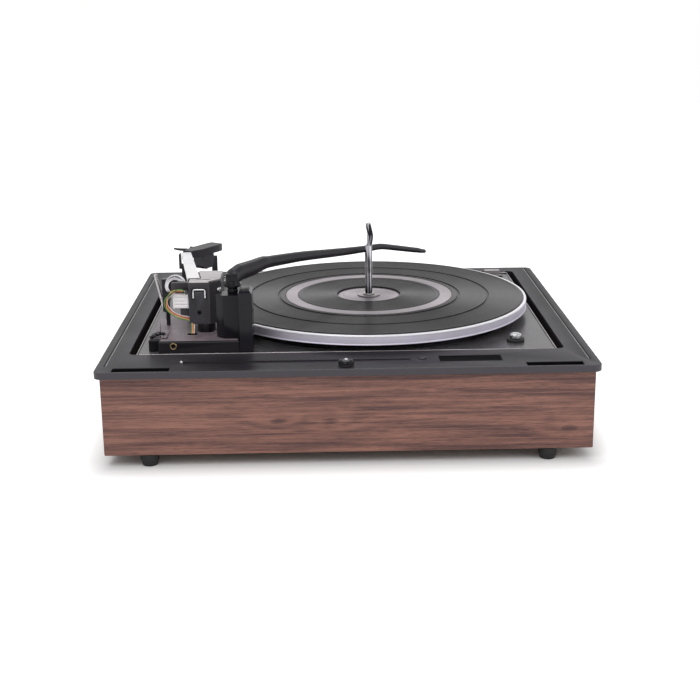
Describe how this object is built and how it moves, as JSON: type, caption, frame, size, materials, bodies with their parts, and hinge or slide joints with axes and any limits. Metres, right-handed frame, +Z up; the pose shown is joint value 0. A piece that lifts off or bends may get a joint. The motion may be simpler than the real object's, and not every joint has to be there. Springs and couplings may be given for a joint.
{
  "type": "record changer",
  "caption": "Automatic record changer on a wooden plinth: platter with ribbed mat, bent spindle, record overarm, pivoted tonearm with headshell, idler drive and cycle gear.",
  "frame": {"origin": "centre of the footprint on the surface that the rubber feet stand on", "axes": "+Z up; -Y is the front with the levers, +Y the rear; the tonearm is on the +X side"},
  "size_m": [0.42, 0.3754, 0.1697],
  "materials": {
    "walnut": "satin",
    "hardboard": "matte",
    "black_rubber": "matte",
    "black_plastic": "satin",
    "gloss_black": "gloss",
    "black_paint": "satin",
    "bright_steel": "satin",
    "chrome": "polished",
    "satin_aluminium": "satin",
    "brass": "satin",
    "winding": "satin",
    "white_nylon": "matte"
  },
  "bodies": {
    "case": {"arm_rest": "black_plastic", "bearing_post": "bright_steel", "bottom_board": "hardboard", "cord_grommet": "black_rubber", "cue_bracket": "black_plastic", "cycle_lever": "bright_steel", "deck_surround": "black_plastic", "foot_1": "black_rubber", "foot_2": "black_rubber", "foot_3": "black_rubber", "foot_4": "black_rubber", "motor_bracket_bottom": "bright_steel", "motor_bracket_top": "bright_steel", "motor_coil": "winding", "motor_stator": "bright_steel", "mounting_board": "hardboard", "overarm_pillar": "gloss_black", "platter_clip": "bright_steel", "plinth_front": "walnut", "plinth_left": "walnut", "plinth_rear": "walnut", "plinth_right": "walnut", "power_switch": "black_plastic", "record_spindle": "chrome", "suspension_spring_1": "bright_steel", "suspension_spring_2": "bright_steel", "suspension_spring_3": "bright_steel", "suspension_spring_4": "bright_steel", "tag_strip": "white_nylon", "thrust_race": "bright_steel", "tonearm_base": "black_plastic", "transit_screw_1": "chrome", "transit_screw_2": "chrome", "transit_washer_1": "black_rubber", "transit_washer_2": "black_rubber", "unit_plate": "black_paint"},
    "platter": {"platter": "satin_aluminium", "platter_mat": "black_rubber", "mat_ring": "satin_aluminium"},
    "motor": {"motor_rotor": "bright_steel", "motor_pulley": "brass"},
    "idler_arm": {"idler_arm": "bright_steel"},
    "idler": {"idler_wheel": "black_rubber"},
    "cycle_gear": {"cycle_gear": "white_nylon"},
    "latch": {"spindle_latch": "bright_steel"},
    "overarm_shaft": {"overarm_shaft": "chrome"},
    "overarm": {"overarm": "black_paint"},
    "yoke": {"arm_yoke": "black_plastic", "pivot_cap": "satin_aluminium", "lead_connector": "white_nylon", "lead_harness": "black_plastic"},
    "tonearm": {"tonearm": "satin_aluminium", "headshell": "black_plastic", "cartridge": "black_plastic"},
    "dial": {"force_dial": "black_plastic"},
    "cue_lever": {"cue_lever": "chrome"},
    "cue_lift": {"cue_lift": "bright_steel"},
    "start_lever": {"start_lever": "black_plastic"},
    "size_lever": {"size_lever": "black_plastic"},
    "speed_lever": {"speed_lever": "black_plastic"}
  },
  "joints": [
    {"name": "motor_spin", "type": "hinge", "parent": "case", "child": "motor", "pos_m": [-0.0806, 0.0072, 0.04], "axis": [0, 0, -1], "continuous": true},
    {"name": "platter_spin", "type": "hinge", "parent": "case", "child": "platter", "pos_m": [-0.0242, -0.01335, 0.097], "axis": [0, 0, -1], "continuous": true},
    {"name": "idler_swing", "type": "hinge", "parent": "case", "child": "idler_arm", "pos_m": [-0.1394, -0.0264, 0.0845], "axis": [0, 0, -1], "range_deg": [0, 4], "stiffness_Nm_per_rad": 0.2},
    {"name": "idler_spin", "type": "hinge", "parent": "idler_arm", "child": "idler", "pos_m": [-0.09712, -0.01056, 0.0875], "axis": [0, 0, -1], "continuous": true},
    {"name": "cycle_turn", "type": "hinge", "parent": "case", "child": "cycle_gear", "pos_m": [0.02902, -0.04408, 0.0805], "axis": [0, 0, 1], "range_deg": [-8, 8]},
    {"name": "latch_slide", "type": "slide", "parent": "case", "child": "latch", "axis": [-1, 0, 0], "range_m": [0, 0.002], "stiffness_N_per_m": 40},
    {"name": "overarm_rise", "type": "slide", "parent": "case", "child": "overarm_shaft", "axis": [0, 0, 1], "range_m": [0, 0.024]},
    {"name": "overarm_swing", "type": "hinge", "parent": "overarm_shaft", "child": "overarm", "pos_m": [0.0985, 0.10975, 0.1325], "axis": [0, 0, 1], "range_deg": [0, 60]},
    {"name": "arm_swing", "type": "hinge", "parent": "case", "child": "yoke", "pos_m": [0.124, 0.09275, 0.102], "axis": [0, 0, -1], "range_deg": [0, 42]},
    {"name": "arm_tilt", "type": "hinge", "parent": "yoke", "child": "tonearm", "pos_m": [0.13491, 0.0818, 0.132], "axis": [-0.9898, -0.1426, 0], "range_deg": [-1.3, 4]},
    {"name": "dial_turn", "type": "hinge", "parent": "yoke", "child": "dial", "pos_m": [0.1506, 0.0908, 0.134], "axis": [0, 1, 0], "range_deg": [0, 270]},
    {"name": "cue_turn", "type": "hinge", "parent": "case", "child": "cue_lever", "pos_m": [0.1659, 0.0662, 0.118], "axis": [-1, 0, 0], "range_deg": [0, 40]},
    {"name": "cue_rise", "type": "slide", "parent": "case", "child": "cue_lift", "axis": [0, 0, 1], "range_m": [0, 0.003]},
    {"name": "start_move", "type": "hinge", "parent": "case", "child": "start_lever", "pos_m": [0.1355, -0.11525, 0.0815], "axis": [0, 0, 1], "range_deg": [-12, 12]},
    {"name": "size_move", "type": "hinge", "parent": "case", "child": "size_lever", "pos_m": [0.163, -0.11525, 0.0815], "axis": [0, 0, 1], "range_deg": [-12, 12]},
    {"name": "speed_move", "type": "hinge", "parent": "case", "child": "speed_lever", "pos_m": [-0.163, -0.122, 0.0815], "axis": [0, 0, 1], "range_deg": [-12, 12]}
  ],
  "couplings": [
    {"joint": "platter_spin", "follows": "motor_spin", "ratio": -0.024737},
    {"joint": "idler_spin", "follows": "motor_spin", "ratio": -0.1088},
    {"joint": "overarm_rise", "follows": "overarm_swing", "m_per_rad": 0.022918},
    {"joint": "cue_turn", "follows": "cue_rise", "rad_per_m": 232.7}
  ]
}
